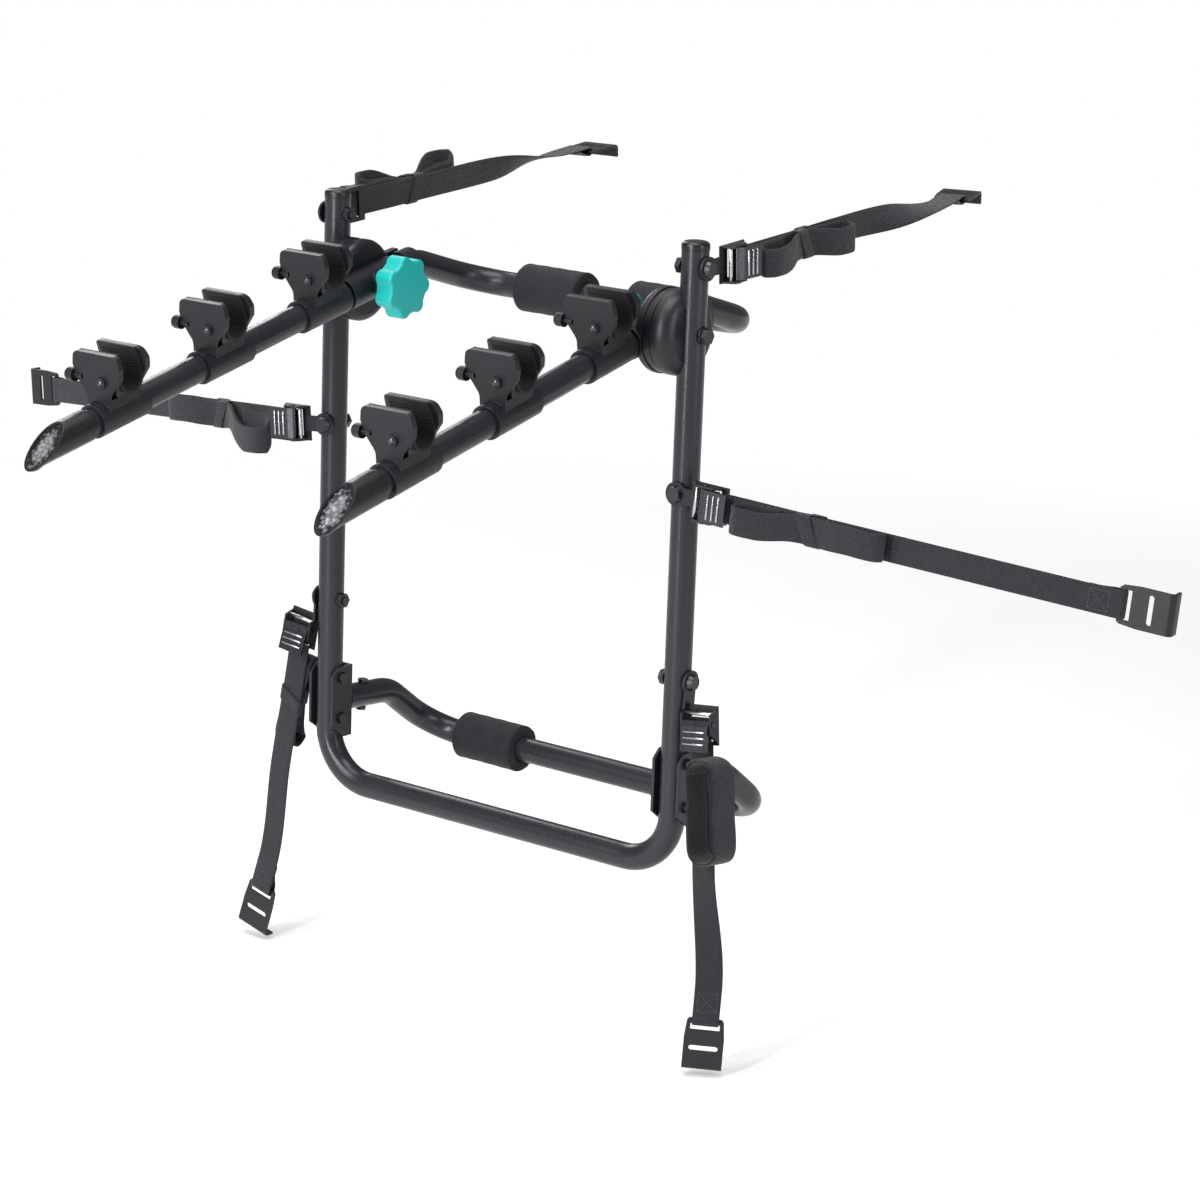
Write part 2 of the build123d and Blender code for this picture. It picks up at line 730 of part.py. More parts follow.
def strap_start(kind, side):
    """The buckle's own frame: x along the webbing, y outward from its face and z across it."""
    bolt = strap_bolt(kind, side)
    aside = Vector(0, 0, 0)
    if kind == "upper":
        along, outward = unit((0, 1, 0.078)), (side, 0, 0)
    elif kind == "side":
        along, outward = unit((side * 0.985, 0.135, -0.08)), (0, -1, 0)
    else:
        along, outward = unit((side * 0.12, -0.075, -0.985)), (0, -1, 0)
        aside = bolt.z_dir * (buckle_half - buckle_wall / 2)
    hang = along - bolt.z_dir * along.dot(bolt.z_dir)
    root = bolt.origin + bolt.z_dir * (eye_thick / 2) + aside + (hang - along) * buckle_start
    return strap_frame(root, along, outward)


def strap_end(kind, side):
    """The hook's own frame, on the webbing's middle above the hook's bar, with the same directions."""
    start = strap_start(kind, side)
    origin = start.from_local_coords(Vector(strap_runs[kind], web_middle, 0))
    if kind == "upper":
        return strap_frame(origin, (-0.22 - 0.1 * side, 1, 0.07), (0, 0, 1))
    if kind == "side":
        return strap_frame(origin, start.x_dir, start.y_dir)
    if side > 0:
        return strap_frame(origin, (0, -0.08, -0.98), (0.55, -0.83, 0))
    return strap_frame(origin, (-0.24, -0.075, -0.95), (0, -1, 0))


def strap_turn(kind, side, share):
    """The plane square to the webbing at a share of the length where it turns from its start to its end."""
    start = strap_start(kind, side)
    end = strap_end(kind, side)
    first = start.from_local_coords(Vector(spare_spans[kind][1] + tie_width, web_middle, 0))
    last = end.from_local_coords(Vector(-loop_back, 0, 0))
    pull = (last - first).length
    blend = share * share * (3 - 2 * share)
    centre = first * (1 - blend) + last * blend
    centre += start.x_dir * (pull * share * (1 - share) ** 2) - end.x_dir * (pull * share**2 * (1 - share))
    chord = (last - first) * (6 * share * (1 - share))
    slope = (1 - share) * (1 - 3 * share)
    slope_end = share * (3 * share - 2)
    along = chord + start.x_dir * (pull * slope) + end.x_dir * (pull * slope_end)
    return strap_frame(centre, along.normalized(), start.y_dir * (1 - blend) + end.y_dir * blend)


def spare_frame(kind, side):
    """The frame of the folded spare webbing and how far from that frame's axis it lies."""
    start = strap_start(kind, side)
    if kind != "lower":
        return start, web_low + 2 * web_thick + 0.6
    if side > 0:
        before = start.from_local_coords(Vector(0, web_low + web_thick + web_width / 2 - web_sink, 0))
        return strap_frame(before, start.x_dir, (1, -0.2, 0)), hanging_base
    return strap_frame(start.origin, start.x_dir, (0, 1, 0)), 1 - web_low


def in_strap(frame, x, y, z, x_dir, z_dir):
    """A plane given in a strap's own coordinates."""
    return inside(frame, (x, y, z), x_dir, z_dir)


def strap_box(frame, x_range, y_range, z_half, mode=Mode.ADD):
    """A block in a strap's own coordinates, centred across the webbing."""
    middle = (sum(x_range) / 2, sum(y_range) / 2)
    with BuildSketch(in_strap(frame, *middle, 0, (1, 0, 0), (0, 0, 1))) as side_shape:
        Rectangle(x_range[1] - x_range[0], y_range[1] - y_range[0])
    extrude(side_shape.sketch, amount=z_half, both=True, mode=mode)


def make_buckle(name, kind, side):
    bolt, frame = strap_bolt(kind, side), strap_start(kind, side)
    pin = in_strap(frame, buckle_start + lever_pin_x, lever_pin_y, 0, (1, 0, 0), (0, 0, 1))
    end = buckle_start + buckle_length
    hang = frame.x_dir - bolt.z_dir * frame.x_dir.dot(bolt.z_dir)
    eye = Plane(origin=bolt.origin, x_dir=hang, z_dir=bolt.z_dir)
    with BuildPart() as buckle:
        with BuildSketch(eye):
            Circle(eye_radius)
            with Locations((buckle_start / 2 + 3, 0)):
                Rectangle(buckle_start + 6, 15)
            Circle(strap_bolt_radius + running_gap, mode=Mode.SUBTRACT)
        extrude(amount=eye_thick)
        strap_box(frame, (buckle_start, end), (-1, -1 + buckle_wall), buckle_half)
        for way in (1, -1):
            z = way * (buckle_half - buckle_wall / 2)
            with BuildSketch(in_strap(frame, buckle_start, -1, z, (1, 0, 0), (0, 0, 1))):
                with BuildLine():
                    Polyline(
                        (2, 0),
                        (7, buckle_height),
                        (25, buckle_height),
                        (buckle_length - 2, 0),
                        close=True,
                    )
                make_face()
            extrude(amount=buckle_wall / 2, both=True)
        strap_box(frame, (buckle_start + 10, end - 8), (-3, 3), web_width / 2 + 0.5, Mode.SUBTRACT)
        with Locations(pin.location):
            Cylinder(lever_pin_radius + running_gap, 3 * buckle_half, mode=Mode.SUBTRACT)
    save(buckle.part, f"strap_buckle_{name}")


def make_lever(name, kind, side):
    frame = strap_start(kind, side)
    pin = in_strap(frame, buckle_start + lever_pin_x, lever_pin_y, 0, (1, 0, 0), (0, 0, 1))
    inner_half = buckle_half - buckle_wall - 0.3
    with BuildPart() as lever:
        with BuildSketch(pin):
            Circle(3.9)
            with BuildLine():
                Polyline(
                    (-3, 0.5),
                    (3, 2.5),
                    (lever_reach, 6.4),
                    (lever_reach, 8.4),
                    (2, 5.6),
                    (-3, 3),
                    close=True,
                )
            make_face()
        extrude(amount=inner_half, both=True)
        with BuildSketch(pin):
            Circle(lever_pin_radius)
        extrude(amount=buckle_half + 1.0, both=True)
    save(lever.part, f"strap_lever_{name}")


def spare_corners(middle, end, base):
    """The corners of one half of the pinched spare webbing, from the tie round its end and back."""
    way = 1 if end > middle else -1
    return [
        (middle, base),
        (end - way * 4, base),
        (end, base + 0.45 * lobe_height),
        (end - way * 9, base + lobe_height),
        (middle + way * 26, base + 0.85 * lobe_height),
        (middle + way * 9, base + lobe_pinch),
        (middle, base + lobe_pinch),
    ]


def spare_shape(span, base):
    """The side view of the folded spare webbing: a flattened loop that a tie pinches in the middle."""
    middle = (span[0] + span[1]) / 2
    with BuildSketch() as shape:
        for end in span:
            with BuildLine():
                Polyline(*spare_corners(middle, end, base), close=True)
            make_face()
        fillet(shape.vertices().filter_by(lambda v: abs(v.X - middle) > 1), lobe_round)
        offset(amount=-lobe_wall, mode=Mode.SUBTRACT)
        with Locations((middle, base + lobe_pinch / 2)):
            Rectangle(tie_width, lobe_pinch)
    return shape.sketch


def hanging_shape(span, base):
    """The side view of spare webbing that hangs as one open loop."""
    with BuildSketch() as shape:
        with Locations(((span[0] + span[1]) / 2, base + hanging_height / 2)):
            RectangleRounded(span[1] - span[0], hanging_height, 0.45 * hanging_height)
        offset(amount=-lobe_wall, mode=Mode.SUBTRACT)
    return shape.sketch


def make_tie(frame, middle, low, high):
    """The band of webbing wrapped round the strap and its spare."""
    reach = (middle - tie_width / 2, middle + tie_width / 2)
    strap_box(frame, reach, (low - tie_thick, high + tie_thick), web_width / 2 + tie_thick)
    strap_box(frame, reach, (low, high), web_width / 2, Mode.SUBTRACT)


def make_webbing(name, kind, side):
    start, end = strap_start(kind, side), strap_end(kind, side)
    spare, base = spare_frame(kind, side)
    span = spare_spans[kind]
    middle = (span[0] + span[1]) / 2
    loop_y = -eyelet_inner - web_thick / 2
    ring = eyelet_inner + web_thick
    hanging = kind == "lower" and side > 0
    tie_low = -web_low - web_thick if kind == "lower" else web_low
    with BuildPart() as webbing:
        if not hanging:
            make_tie(spare, middle, tie_low, base + lobe_pinch)
        pulled = (web_low, web_low + web_thick)
        strap_box(start, (buckle_start + 11, span[1] + tie_width), pulled, web_width / 2)
        if kind != "lower":
            tail = (web_low + web_thick, web_low + 2 * web_thick)
            strap_box(start, (buckle_start + 21, middle), tail, web_width / 2)
        for i in range(5):
            turn = strap_turn(kind, side, i / 4)
            with BuildSketch(Plane(origin=turn.origin, x_dir=turn.y_dir, z_dir=turn.x_dir)):
                Rectangle(web_thick, web_width)
        loft()
        with BuildSketch(in_strap(end, 0, 0, 0, (1, 0, 0), (0, 0, 1))):
            with Locations((-loop_back / 2, 0)):
                Rectangle(loop_back, web_thick)
            with Locations((0, loop_y)):
                Circle(ring)
            with BuildLine():
                Polyline(
                    (0, loop_y - ring),
                    (0, loop_y - eyelet_inner),
                    (-loop_back + 12, -web_thick / 2),
                    (-loop_back, -web_thick / 2),
                    (-loop_back, -1.5 * web_thick),
                    (-loop_back + 12, -1.5 * web_thick),
                    close=True,
                )
            make_face()
            with Locations((0, loop_y)):
                Circle(eyelet_inner, mode=Mode.SUBTRACT)
        extrude(amount=web_width / 2, both=True)
        with BuildSketch(in_strap(spare, 0, 0, 0, (1, 0, 0), (0, 0, 1))):
            add(hanging_shape(span, base) if hanging else spare_shape(span, base))
        extrude(amount=web_width / 2, both=True)
    save(webbing.part, f"strap_webbing_{name}")


def make_hook(name, kind, side):
    end = strap_end(kind, side)
    bar_y = -eyelet_inner - web_thick / 2
    flat = in_strap(end, 0, bar_y, 0, (1, 0, 0), (0, 0, 1))
    outline = in_strap(end, 0, bar_y, 0, (1, 0, 0), (0, -1, 0))
    half = hook_plate / 2
    bend = 3.0
    corner = hook_length - bend - hook_plate
    with BuildPart() as hook:
        with BuildSketch(flat):
            with BuildLine():
                Line((-hook_bar / 2, -half), (corner, -half))
                RadiusArc((corner, -half), (hook_length - hook_plate, -half - bend), bend)
                Line((hook_length - hook_plate, -half - bend), (hook_length - hook_plate, -hook_lip))
                Line((hook_length - hook_plate, -hook_lip), (hook_length, -hook_lip))
                Line((hook_length, -hook_lip), (hook_length, -half - bend))
                RadiusArc((hook_length, -half - bend), (corner, half), -bend - hook_plate)
                Line((corner, half), (-hook_bar / 2, half))
                Line((-hook_bar / 2, half), (-hook_bar / 2, -half))
            make_face()
        extrude(amount=hook_half, both=True)
        with BuildSketch(outline.offset(-30)):
            with BuildLine():
                Polyline(
                    (-hook_bar / 2, hook_neck_half - 2),
                    (0, hook_neck_half),
                    (hook_length / 3, hook_half),
                    (hook_length, hook_half),
                    (hook_length, -hook_half),
                    (hook_length / 3, -hook_half),
                    (0, -hook_neck_half),
                    (-hook_bar / 2, -hook_neck_half + 2),
                    close=True,
                )
            make_face()
            with Locations(((hook_bar / 2 + 8.5) / 2, 0)):
                Rectangle(8.5 - hook_bar / 2, 2 * hook_slot_half, mode=Mode.SUBTRACT)
            with Locations((hook_length * 0.55, 0)):
                SlotOverall(2 * hook_slot_half, 5, rotation=90, mode=Mode.SUBTRACT)
        extrude(amount=60, mode=Mode.INTERSECT)
    save(hook.part, f"strap_hook_{name}")


def make_strap_bolts():
    with BuildPart() as bolts:
        for kind in ("upper", "side", "lower"):
            for side in SIDES.values():
                bolt = strap_bolt(kind, side)
                out = bolt.origin + bolt.z_dir * (eye_thick + 0.3)
                back = bolt.origin - bolt.z_dir * (2 * tube_radius + 0.5)
                shank = Plane(origin=back, x_dir=bolt.x_dir, z_dir=bolt.z_dir)
                with BuildSketch(shank.offset(-7)):
                    Circle(strap_bolt_radius)
                extrude(amount=(out - back).length + 7.5)
                with BuildSketch(Plane(origin=out, x_dir=bolt.x_dir, z_dir=bolt.z_dir)):
                    Circle(8)
                extrude(amount=4, taper=22)
    save(bolts.part, "strap_bolts")


def make_strap_nuts():
    with BuildPart() as nuts:
        for kind in ("upper", "side", "lower"):
            for side in SIDES.values():
                bolt = strap_bolt(kind, side)
                face = bolt.offset(-2 * tube_radius - 0.5)
                with BuildSketch(face):
                    RegularPolygon(6.5, 6, major_radius=False)
                    Circle(strap_bolt_radius + slide_gap, mode=Mode.SUBTRACT)
                extrude(amount=-5)
    save(nuts.part, "strap_nuts")


def main():
    os.makedirs("parts", exist_ok=True)
    make_main_frame()
    make_upright_caps()
    make_hub_bolts()
    make_upper_spacer()
    make_lower_spacer()
    make_brackets()
    make_bracket_bolts()
    make_strap_bolts()
    make_strap_nuts()
    for name, side in SIDES.items():
        make_hub_cap(name, side)
        make_spacer_hub(name, side)
        make_arm_hub(name, side)
        make_knob(name, side)
        make_arm_tube(name, side)
        make_arm_end(name, side)
        make_liners(name, side)
        make_studs(name, side)
        for number in range(1, cradle_count + 1):
            make_cradle(name, side, number)
        for kind in ("upper", "side", "lower"):
            make_buckle(f"{kind}_{name}", kind, side)
            make_lever(f"{kind}_{name}", kind, side)
            make_webbing(f"{kind}_{name}", kind, side)
            make_hook(f"{kind}_{name}", kind, side)


main()
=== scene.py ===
import json
import math

import bpy
from mathutils import Matrix, Vector


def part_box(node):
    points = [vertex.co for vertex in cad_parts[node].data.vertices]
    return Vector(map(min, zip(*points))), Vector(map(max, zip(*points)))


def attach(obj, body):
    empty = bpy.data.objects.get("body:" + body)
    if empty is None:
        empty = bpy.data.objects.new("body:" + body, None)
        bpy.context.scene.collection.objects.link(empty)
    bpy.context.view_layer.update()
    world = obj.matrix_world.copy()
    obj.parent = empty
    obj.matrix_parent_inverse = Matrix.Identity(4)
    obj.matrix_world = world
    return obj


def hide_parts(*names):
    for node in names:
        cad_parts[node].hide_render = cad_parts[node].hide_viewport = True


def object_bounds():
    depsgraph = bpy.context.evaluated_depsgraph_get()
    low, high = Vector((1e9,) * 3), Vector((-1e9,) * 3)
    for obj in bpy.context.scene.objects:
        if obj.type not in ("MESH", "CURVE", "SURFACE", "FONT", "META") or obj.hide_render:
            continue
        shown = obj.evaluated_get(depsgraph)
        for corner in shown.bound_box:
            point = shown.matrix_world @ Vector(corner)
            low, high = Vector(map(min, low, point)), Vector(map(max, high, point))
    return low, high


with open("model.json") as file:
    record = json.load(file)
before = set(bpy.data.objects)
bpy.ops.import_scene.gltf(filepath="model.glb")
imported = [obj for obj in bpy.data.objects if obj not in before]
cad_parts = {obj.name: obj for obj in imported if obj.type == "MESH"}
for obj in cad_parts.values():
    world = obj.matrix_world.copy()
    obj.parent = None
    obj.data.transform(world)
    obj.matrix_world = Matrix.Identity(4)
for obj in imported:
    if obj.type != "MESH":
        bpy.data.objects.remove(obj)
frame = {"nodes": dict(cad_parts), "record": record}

cad_low, cad_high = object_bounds()
nodes_by_name = frame["nodes"]

# Camera
az, el, roll = 0.644, 0.249, 0.036
forward = Vector((-math.sin(az) * math.cos(el), math.cos(az) * math.cos(el), -math.sin(el)))
level = Vector((math.cos(az), math.sin(az), 0))
upward = level.cross(forward)
right = level * math.cos(roll) + upward * math.sin(roll)
top = upward * math.cos(roll) - level * math.sin(roll)
lens = bpy.data.cameras.new("camera")
lens.lens = 106.65
lens.sensor_width = 36.0
lens.clip_end = 60.0
camera = bpy.data.objects.new("camera", lens)
camera.matrix_world = Matrix(
    (
        (right.x, top.x, -forward.x, 2.02177),
        (right.y, top.y, -forward.y, -2.71344),
        (right.z, top.z, -forward.z, 1.02586),
        (0, 0, 0, 1),
    )
)
bpy.context.collection.objects.link(camera)
bpy.context.scene.camera = camera
bpy.context.scene.view_settings.view_transform = "Standard"


# Materials
class Graph:
    """A material's node tree, with short calls for the nodes that the finishes share."""

    def __init__(self, name):
        self.material = bpy.data.materials.new(name)
        self.material.use_nodes = True
        self.tree = self.material.node_tree
        self.shader = self.tree.nodes["Principled BSDF"]
        self.coords = self.tree.nodes.new("ShaderNodeTexCoord")

    def link(self, source, target):
        self.tree.links.new(source, target)

    def noise(self, scale, detail=3.0, rough=0.5, stretch=None):
        node = self.tree.nodes.new("ShaderNodeTexNoise")
        node.inputs["Scale"].default_value = scale
        node.inputs["Detail"].default_value = detail
        node.inputs["Roughness"].default_value = rough
        place = self.coords.outputs["Object"]
        if stretch:
            mapping = self.tree.nodes.new("ShaderNodeMapping")
            mapping.inputs["Scale"].default_value = stretch
            self.link(place, mapping.inputs["Vector"])
            place = mapping.outputs["Vector"]
        self.link(place, node.inputs["Vector"])
        return node.outputs["Fac"]

    def cells(self, scale):
        node = self.tree.nodes.new("ShaderNodeTexVoronoi")
        node.inputs["Scale"].default_value = scale
        self.link(self.coords.outputs["Object"], node.inputs["Vector"])
        return node.outputs["Distance"]

    def spread(self, value, low, high, start=0.3, end=0.7):
        node = self.tree.nodes.new("ShaderNodeMapRange")
        node.inputs["From Min"].default_value = start
        node.inputs["From Max"].default_value = end
        node.inputs["To Min"].default_value = low
        node.inputs["To Max"].default_value = high
        self.link(value, node.inputs["Value"])
        return node.outputs["Result"]

    def maths(self, kind, a, b=None):
        node = self.tree.nodes.new("ShaderNodeMath")
        node.operation = kind
        for place, value in enumerate((a, b)):
            if value is None:
                continue
            if isinstance(value, (int, float)):
                node.inputs[place].default_value = value
            else:
                self.link(value, node.inputs[place])
        return node.outputs["Value"]

    def tint(self, value, dark, light):
        node = self.tree.nodes.new("ShaderNodeMix")
        node.data_type = "RGBA"
        node.inputs["A"].default_value = (*dark, 1)
        node.inputs["B"].default_value = (*light, 1)
        for place in node.inputs:
            if place.type == "RGBA" and place.name == "A":
                place.default_value = (*dark, 1)
            if place.type == "RGBA" and place.name == "B":
                place.default_value = (*light, 1)
        self.link(value, node.inputs["Factor"])
        output = [o for o in node.outputs if o.type == "RGBA"][0]
        self.link(output, self.shader.inputs["Base Color"])
        return node

    def bump(self, value, distance, strength=1.0, edge=0.0, under=None):
        node = self.tree.nodes.new("ShaderNodeBump")
        node.inputs["Strength"].default_value = strength
        node.inputs["Distance"].default_value = distance
        self.link(value, node.inputs["Height"])
        if edge:
            bevel = self.tree.nodes.new("ShaderNodeBevel")
            bevel.samples = 4
            bevel.inputs["Radius"].default_value = edge
            self.link(bevel.outputs["Normal"], node.inputs["Normal"])
        if under is not None:
            self.link(under, node.inputs["Normal"])
        self.link(node.outputs["Normal"], self.shader.inputs["Normal"])
        return node.outputs["Normal"]


def scaled(colour, factor):
    return tuple(min(1.0, c * factor) for c in colour)


def moulded(
    name, colour, rough, grain=900.0, height=0.00006, metallic=0.0, edge=0.0006, vary=0.16, specular=0.36
):
    """Coated metal or moulded plastic: a fine grain, softened edges and a roughness that wanders."""
    g = Graph(name)
    g.shader.inputs["Metallic"].default_value = metallic
    g.shader.inputs["Specular IOR Level"].default_value = specular
    g.tint(g.noise(26.0, 5.0, 0.6), scaled(colour, 1 - vary), scaled(colour, 1 + vary))
    smudge = g.spread(g.noise(9.0, 6.0, 0.65), rough - 0.07, rough + 0.07)
    fine = g.spread(g.noise(320.0, 2.0), -0.03, 0.03)
    g.link(g.maths("ADD", smudge, fine), g.shader.inputs["Roughness"])
    soft = g.bump(g.noise(grain, 2.0, 0.55), height, 1.0, edge)
    g.bump(g.noise(140.0, 2.0), height * 1.6, 0.6, 0.0, soft)
    return g.material


def foam_finish():
    g = Graph("foam")
    g.shader.inputs["Specular IOR Level"].default_value = 0.25
    g.shader.inputs["Sheen Weight"].default_value = 0.05
    g.shader.inputs["Sheen Roughness"].default_value = 0.6
    g.tint(g.cells(900.0), (0.0045, 0.0045, 0.0065), (0.0125, 0.012, 0.0165))
    g.link(g.spread(g.noise(60.0, 4.0), 0.82, 0.98), g.shader.inputs["Roughness"])
    cells = g.bump(g.cells(950.0), 0.00035, 0.9)
    g.bump(g.noise(70.0, 4.0), 0.0009, 0.7, 0.0, cells)
    return g.material


def webbing_finish(name, dark, light):
    """Woven webbing: rows of stitches across the strap, set off by half a stitch in every other column."""
    g = Graph(name)
    g.shader.inputs["Specular IOR Level"].default_value = 0.3
    g.shader.inputs["Sheen Weight"].default_value = 0.16
    g.shader.inputs["Sheen Roughness"].default_value = 0.5
    parts = g.tree.nodes.new("ShaderNodeSeparateXYZ")
    g.link(g.coords.outputs["UV"], parts.inputs["Vector"])
    along, across = parts.outputs["X"], parts.outputs["Y"]
    column = g.maths("FLOOR", g.maths("DIVIDE", across, 0.0017))
    half = g.maths("MULTIPLY", g.maths("MODULO", g.maths("ADD", column, 400.0), 2.0), math.pi / 2)
    row = g.maths("ADD", g.maths("MULTIPLY", along, math.pi / 0.0024), half)
    knot = g.maths("ABSOLUTE", g.maths("SINE", row))
    rib = g.maths("ABSOLUTE", g.maths("SINE", g.maths("MULTIPLY", across, math.pi / 0.0017)))
    cloth = g.maths("MULTIPLY", g.maths("POWER", knot, 0.7), g.maths("POWER", rib, 0.6))
    # Painted shade: the weave's dips are painted darker than its tops, from the same height that drives
    # the bump.
    g.tint(cloth, dark, light)
    g.link(g.spread(g.noise(300.0, 3.0), 0.68, 0.88), g.shader.inputs["Roughness"])
    weave = g.bump(cloth, 0.00042, 1.0)
    g.bump(g.noise(2600.0, 2.0), 0.00008, 0.8, 0.0, weave)
    return g.material


def reflector_finish():
    """A clear lens over small prisms, with a painted reflection: bright painted glints in the middle and
    painted shade towards the rim.
    """
    g = Graph("reflector")
    g.shader.inputs["Metallic"].default_value = 0.85
    g.shader.inputs["Coat Weight"].default_value = 1.0
    g.shader.inputs["Coat Roughness"].default_value = 0.05
    parts = g.tree.nodes.new("ShaderNodeSeparateXYZ")
    g.link(g.coords.outputs["Generated"], parts.inputs["Vector"])
    across = g.maths("POWER", g.maths("ABSOLUTE", g.maths("SUBTRACT", parts.outputs["X"], 0.5)), 2.0)
    up = g.maths("POWER", g.maths("ABSOLUTE", g.maths("SUBTRACT", parts.outputs["Z"], 0.5)), 2.0)
    # Painted shade: the lens colour is darkened towards its rim.
    rim = g.spread(g.maths("SQRT", g.maths("ADD", across, up)), 0.0, 0.75, 0.2, 0.47)
    # Painted glints: each prism cell is painted bright at its middle and darker at its edges; the prisms'
    # relief itself is the bump below.
    painted_glints = g.spread(g.cells(260.0), 0.0, 0.6, 0.2, 0.7)
    g.tint(g.maths("MINIMUM", g.maths("ADD", rim, painted_glints), 1.0), (0.80, 0.82, 0.85), (0.03, 0.03, 0.036))
    g.link(g.spread(g.noise(90.0), 0.12, 0.26), g.shader.inputs["Roughness"])
    g.bump(g.cells(260.0), 0.0006, 1.0, 0.0003)
    return g.material


def fastener_finish(name, colour, rough):
    g = Graph(name)
    g.shader.inputs["Metallic"].default_value = 1.0
    g.tint(g.noise(600.0, 3.0), scaled(colour, 0.88), scaled(colour, 1.12))
    g.link(g.spread(g.noise(420.0, 3.0), rough - 0.05, rough + 0.06), g.shader.inputs["Roughness"])
    g.bump(g.noise(1400.0, 2.0), 0.000012, 1.0, 0.0004)
    return g.material


finishes = {
    "tube": moulded("powder_coat", (0.0135, 0.013, 0.0185), 0.31, 900.0, 0.00002, 0.0, 0.0005),
    "bracket": moulded("bracket_coat", (0.012, 0.012, 0.016), 0.40, 1000.0, 0.00006, 0.0, 0.0008),
    "hub": moulded("hub_nylon", (0.007, 0.007, 0.010), 0.42, 700.0, 0.00010, 0.0, 0.0009),
    "plastic": moulded("cap_plastic", (0.007, 0.007, 0.009), 0.34, 800.0, 0.00007, 0.0, 0.0008),
    "cradle": moulded("cradle_nylon", (0.006, 0.006, 0.009), 0.44, 700.0, 0.00009, 0.0, 0.0008),
    "liner": moulded("liner_rubber", (0.009, 0.009, 0.011), 0.66, 500.0, 0.00016, 0.0, 0.0005, 0.2, 0.3),
    "knob": moulded("knob_teal", (0.004, 0.33, 0.31), 0.44, 800.0, 0.00007, 0.0, 0.0009, 0.08, 0.4),
    "strap_steel": moulded("strap_steel", (0.010, 0.010, 0.013), 0.44, 1300.0, 0.00004, 0.1, 0.0004),
    "chrome": fastener_finish("lever_steel", (0.07, 0.07, 0.08), 0.3),
    "fastener": fastener_finish("black_zinc", (0.06, 0.06, 0.066), 0.36),
    "reflector": reflector_finish(),
    "foam": foam_finish(),
    "webbing": webbing_finish("webbing", (0.003, 0.003, 0.0045), (0.0145, 0.014, 0.0215)),
}
thread = moulded("thread", (0.05, 0.05, 0.055), 0.7, 2000.0, 0.00005, 0.0, 0.0)
rivet_steel = fastener_finish("rivet_steel", (0.11, 0.11, 0.12), 0.34)
bar_steel = fastener_finish("bar_steel", (0.42, 0.42, 0.44), 0.28)
slot_of = {piece["node"]: piece["material_slot"] for piece in frame["record"]["subparts"]}
for node_name, node in nodes_by_name.items():
    finish = finishes[slot_of[node_name]]
    if not node.data.materials:
        node.data.materials.append(finish)
    for i in range(len(node.data.materials)):
        node.data.materials[i] = finish


# Meshes
def add_mesh(name, vertices, faces, finish, uvs=None, smooth=True):
    """A mesh piece from millimetre vertices, with the shared frame's metres as its units."""
    mesh = bpy.data.meshes.new(name)
    mesh.from_pydata([tuple(c / 1000 for c in v) for v in vertices], [], faces)
    if uvs:
        layer = mesh.uv_layers.new(name="strip")
        for loop in mesh.loops:
            layer.data[loop.index].uv = uvs[loop.vertex_index]
    mesh.materials.append(finish)
    mesh.update()
    if smooth:
        mesh.shade_smooth()
    piece = bpy.data.objects.new(name, mesh)
    bpy.context.collection.objects.link(piece)
    return piece


def lathe(name, profile, origin, axis, finish, turns=48, wobble=0.0):
    """A ring of revolution about an axis, from (distance along it, radius) points."""
    axis = Vector(axis).normalized()
    side = axis.orthogonal().normalized()
    other = axis.cross(side)
    vertices, faces = [], []
    count = len(profile)
    for i in range(turns):
        a = 2 * math.pi * i / turns
        out = side * math.cos(a) + other * math.sin(a)
        for t, r in profile:
            lump = wobble * math.sin(3 * a + t * 0.21) * math.sin(0.13 * t + 1.7 * a)
            vertices.append(Vector(origin) + axis * t + out * (r + lump))
    for i in range(turns):
        for j in range(count):
            k = (j + 1) % count
            n = (i + 1) % turns
            faces.append((i * count + j, n * count + j, n * count + k, i * count + k))
    return add_mesh(name, vertices, faces, finish)


# Foam pads
def pad_profile(half, radius, bore):
    """A foam sleeve's side view: cut ends that bulge a little, rounded rims and a bore round the tube."""
    rim = 1.8
    points = [
        (-half + 0.6, bore),
        (-half, bore + 2.0),
        (-half - 0.3, (bore + radius) / 2),
        (-half, radius - 3.0),
    ]
    for i in range(7):
        a = math.pi / 2 * i / 6
        points.append((-half + rim - rim * math.cos(a), radius - rim + rim * math.sin(a)))
    steps = 14
    for i in range(1, steps):
        t = -half + rim + (2 * half - 2 * rim) * i / steps
        points.append((t, radius - 0.25 * math.sin(math.pi * i / steps)))
    mirrored = [(-t, r) for t, r in reversed(points[:11])]
    inner = [(half * 0.5, bore), (0, bore), (-half * 0.5, bore)]
    return points + mirrored + inner


pad_half, pad_slack, pad_bore, pad_lumps = 37.0, 0.3, 12.75, 0.35
for pads, body in (("lower_pads", "frame"), ("upper_pads", "upper_spacer")):
    low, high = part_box(pads)
    pad_y, pad_z = 500 * (low[1] + high[1]), 500 * (low[2] + high[2])
    pad_radius = 500 * (high[2] - low[2])
    for name, side in (("left", -1), ("right", 1)):
        outer = 1000 * (high[0] if side > 0 else -low[0])
        middle = (side * (outer - pad_half), pad_y, pad_z)
        profile = pad_profile(pad_half - pad_slack, pad_radius, pad_bore)
        pad = lathe(f"{pads[:-1]}_{name}", profile, middle, (1, 0, 0), finishes["foam"], 72, pad_lumps)
        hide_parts(pads)
        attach(pad, body)

